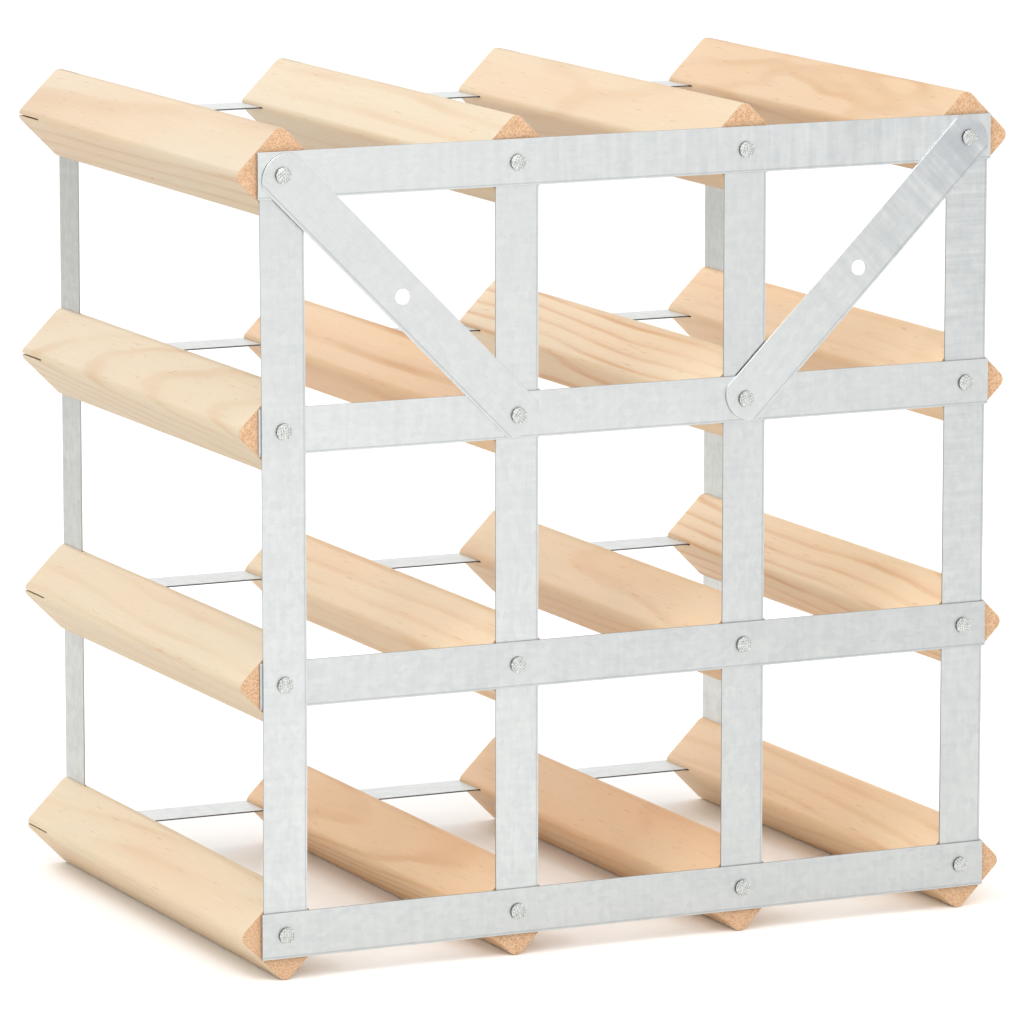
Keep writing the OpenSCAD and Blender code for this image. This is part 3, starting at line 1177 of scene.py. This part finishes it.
@dataclass
class Nails:
    """A nail at every crossing, with a low domed head pressed with a lattice of ridges.

    The tip is a share of the shank's width, and the ridges fade out from a share of the head's.
    """

    grid: Grid
    head_radius: float = 3.1 * MM
    head_height: float = 1.2 * MM
    rim: float = 0.75 * MM
    undercut: float = 0.4 * MM
    shank_radius: float = 1.4 * MM
    length: float = 35 * MM
    point: float = 4 * MM
    tip: float = 0.15
    fade: float = 0.7
    rings: int = 13
    sides: int = 64
    ridge: float = 0.08 * MM
    ridge_pitch: float = 1.0 * MM
    seed: int = 47

    def head_profile(self, x: float, y: float) -> float:
        """Height of the head's face: a low dome with ridges that fade out at the rim."""
        reach = min(math.hypot(x, y) / self.head_radius, 1.0)
        dome = (self.head_height - self.ridge - self.rim) * (1 - reach**2)
        wave = math.cos(math.pi * x / self.ridge_pitch) * math.cos(math.pi * y / self.ridge_pitch)
        strength = 1 - smooth_step((reach - self.fade) / (1 - self.fade))
        return self.rim + dome + self.ridge * abs(wave) * strength

    def model(self) -> bpy.types.Object:
        """Models one nail, its head facing +Z with its underside at z = 0.

        Returns:
            The nail that all the others are copied from.
        """
        nail = add_primitive(
            bpy.ops.mesh.primitive_cylinder_add, "nail_blank", vertices=self.sides,
            radius=self.head_radius, depth=self.rim - self.undercut,
            location=(0, 0, (self.rim + self.undercut) / 2),
        )
        step = self.head_radius / (self.rings + 0.5)
        with edit_mode(nail):
            select(nail, Element.FACE, lambda f: f.normal.z > 0.9)
            for _ in range(self.rings):
                bpy.ops.mesh.inset(thickness=step)
            bpy.ops.mesh.merge(type="CENTER")
            select(nail, Element.FACE, lambda f: f.normal.z < -0.9)
            bpy.ops.mesh.inset(thickness=self.head_radius - self.shank_radius)
            bpy.ops.transform.translate(value=(0, 0, -self.undercut))
            bpy.ops.mesh.extrude_region_move(
                TRANSFORM_OT_translate={"value": (0, 0, self.point - self.length)}
            )
            bpy.ops.mesh.extrude_region_move(TRANSFORM_OT_translate={"value": (0, 0, -self.point)})
            bpy.ops.transform.resize(
                value=(self.tip, self.tip, 1.0), center_override=(0.0, 0.0, -self.length)
            )
        for vertex in nail.data.vertices:
            if vertex.co.z > self.rim * 0.9:
                vertex.co.z = self.head_profile(vertex.co.x, vertex.co.y)
        smooth_faces(nail, math.radians(55))
        store_vector(nail, "nail_place", lambda co: co)
        return nail

    def build(self, finish: bpy.types.Material) -> list[bpy.types.Object]:
        """Copies the nail to every crossing.

        Args:
            finish: The nails' zinc.

        Returns:
            The nails.
        """
        grid, chance = self.grid, random.Random(self.seed)
        blank = self.model()
        outwards = Matrix.Rotation(math.radians(90), 4, "X")
        nails = []
        for row, column in grid.crossings():
            braced = grid.is_braced(row, column)
            layers = 3 if braced else 2
            place = grid.point(row, column, grid.rear - layers * grid.strap_thickness)
            turn = Matrix.Rotation(chance.uniform(0, math.tau), 4, "Z")
            nail = copy_piece(
                blank, f"nail_r{row}_c{column}", Matrix.Translation(place) @ outwards @ turn
            )
            node = "brace_nails" if braced else "strap_nails"
            nails.append(finish_piece(nail, node, finish))
        bpy.data.objects.remove(blank)
        return nails


# ---- The studio ----


@dataclass(frozen=True)
class Softbox:
    """A square soft light that faces the rack: angles in degrees, metres and watts."""

    name: str
    azimuth: float
    elevation: float
    away: float
    size: float
    power: float


@dataclass
class Studio:
    """A pale floor, an even white surround, three soft lights, and the camera."""

    centre: Vector
    azimuth: float = -24.9
    elevation: float = 9.8
    distance: float = 2.771
    lens: float = 243.0
    aim: tuple[float, float, float] = (2.6 * MM, 1.8 * MM, -10.9 * MM)
    surround: float = 1.12
    floor_size: float = 30.0
    floor_drop: float = 0.2 * MM
    softboxes: tuple[Softbox, ...] = (
        Softbox("key", azimuth=-52, elevation=48, away=1.6, size=0.45, power=5),
        Softbox("front", azimuth=-8, elevation=35, away=1.3, size=0.8, power=4),
        Softbox("rim", azimuth=-170, elevation=26, away=1.8, size=0.7, power=5),
    )

    def direction(self, azimuth: float, elevation: float) -> Vector:
        """The direction from the rack to a viewer or light, from its angles in degrees."""
        a, e = math.radians(azimuth), math.radians(elevation)
        return Vector((math.sin(a) * math.cos(e), -math.cos(a) * math.cos(e), math.sin(e)))

    def aim_back(self, data: Any, towards: Vector, at: Vector) -> bpy.types.Object:
        """Adds a camera or light at a place, facing back along its direction from the rack."""
        thing = bpy.data.objects.new(data.name, data)
        bpy.context.scene.collection.objects.link(thing)
        thing.location = at
        thing.rotation_euler = (-towards).to_track_quat("-Z", "Y").to_euler()
        return thing

    def add_camera(self) -> None:
        """Adds the camera and makes it the scene's."""
        data = bpy.data.cameras.new("camera")
        data.lens = self.lens
        data.clip_start, data.clip_end = 0.1, 100.0
        towards = self.direction(self.azimuth, self.elevation)
        at = self.centre + Vector(self.aim) + towards * self.distance
        bpy.context.scene.camera = self.aim_back(data, towards, at)

    def add_softbox(self, box: Softbox) -> None:
        """Adds one soft light."""
        data = bpy.data.lights.new(box.name, "AREA")
        data.size = box.size
        data.energy = box.power
        towards = self.direction(box.azimuth, box.elevation)
        self.aim_back(data, towards, self.centre + towards * box.away)

    def add_floor(self) -> None:
        """Adds the pale floor."""
        down = (0, 0, -self.floor_drop)
        plane = bpy.ops.mesh.primitive_plane_add
        floor = add_primitive(plane, "floor", size=self.floor_size, location=down)
        material, add = new_material("pale_floor")
        surface = add("BsdfPrincipled", {"Base Color": linear("FCFCFC"), "Roughness": 0.8})
        add("OutputMaterial", {"Surface": surface})
        floor.data.materials.append(material)
        floor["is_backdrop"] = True

    def build(self) -> None:
        """Sets up the floor, the lights and the camera."""
        scene = bpy.context.scene
        scene.view_settings.view_transform = "Standard"
        world = bpy.data.worlds.new("surround")
        scene.world = world
        world.use_nodes = True
        background = world.node_tree.nodes["Background"]
        background.inputs["Color"].default_value = (1, 1, 1, 1)
        background.inputs["Strength"].default_value = self.surround
        self.add_floor()
        for box in self.softboxes:
            self.add_softbox(box)
        self.add_camera()


def main(frame: dict[str, Any]) -> None:
    """Builds the rack and its studio.
    """
    logging.basicConfig(level=logging.INFO, format="%(name)s: %(message)s")
    cad_low, cad_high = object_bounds()
    Studio((cad_low + cad_high) / 2).build()
    grid = Grid.read(frame["nodes"])
    strap_zinc = GalvanisedSteel("galvanised_strap").build()
    # The braces' cut edges are painted bright, as a painted highlight
    brace_zinc = GalvanisedSteel("galvanised_brace", cut_edge_with_painted_light="F0F2F2", speck="929AA0").build()
    # The strips' front edges are partly bare steel and partly painted shade, darkest on the rows
    strip_zinc = {
        run: GalvanisedSteel(
            name, zinc=zinc, zinc_dull=dull, cut_edge_with_painted_light=edge, edges_face_y=True, rolled_edge_painted_shade=0.0
        ).build()
        for run, name, zinc, dull, edge in (
            (Run.ROW, "galvanised_strip", "D7D9D8", "CED0CF", "656766"),
            (Run.COLUMN, "galvanised_upright", "D8D8D3", "CFCFCA", "B4B7B4"),
        )
    }
    pieces = [
        *Bars(grid).build(PlanedPine().build()),
        *RearStraps(grid).build(strap_zinc),
        *Braces(grid).build(brace_zinc),
        *FrontStrips(grid).build(strip_zinc),
        *Nails(grid).build(NailZinc().build()),
    ]
    log.info("%d pieces", len(pieces))


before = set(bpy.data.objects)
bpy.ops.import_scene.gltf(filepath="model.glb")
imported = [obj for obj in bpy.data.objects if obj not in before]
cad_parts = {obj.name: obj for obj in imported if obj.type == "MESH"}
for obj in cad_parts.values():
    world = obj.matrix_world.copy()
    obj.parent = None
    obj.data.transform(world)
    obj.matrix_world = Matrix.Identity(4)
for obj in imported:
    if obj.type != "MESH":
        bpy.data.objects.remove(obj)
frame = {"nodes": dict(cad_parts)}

if __name__ == "__main__":
    main(frame)
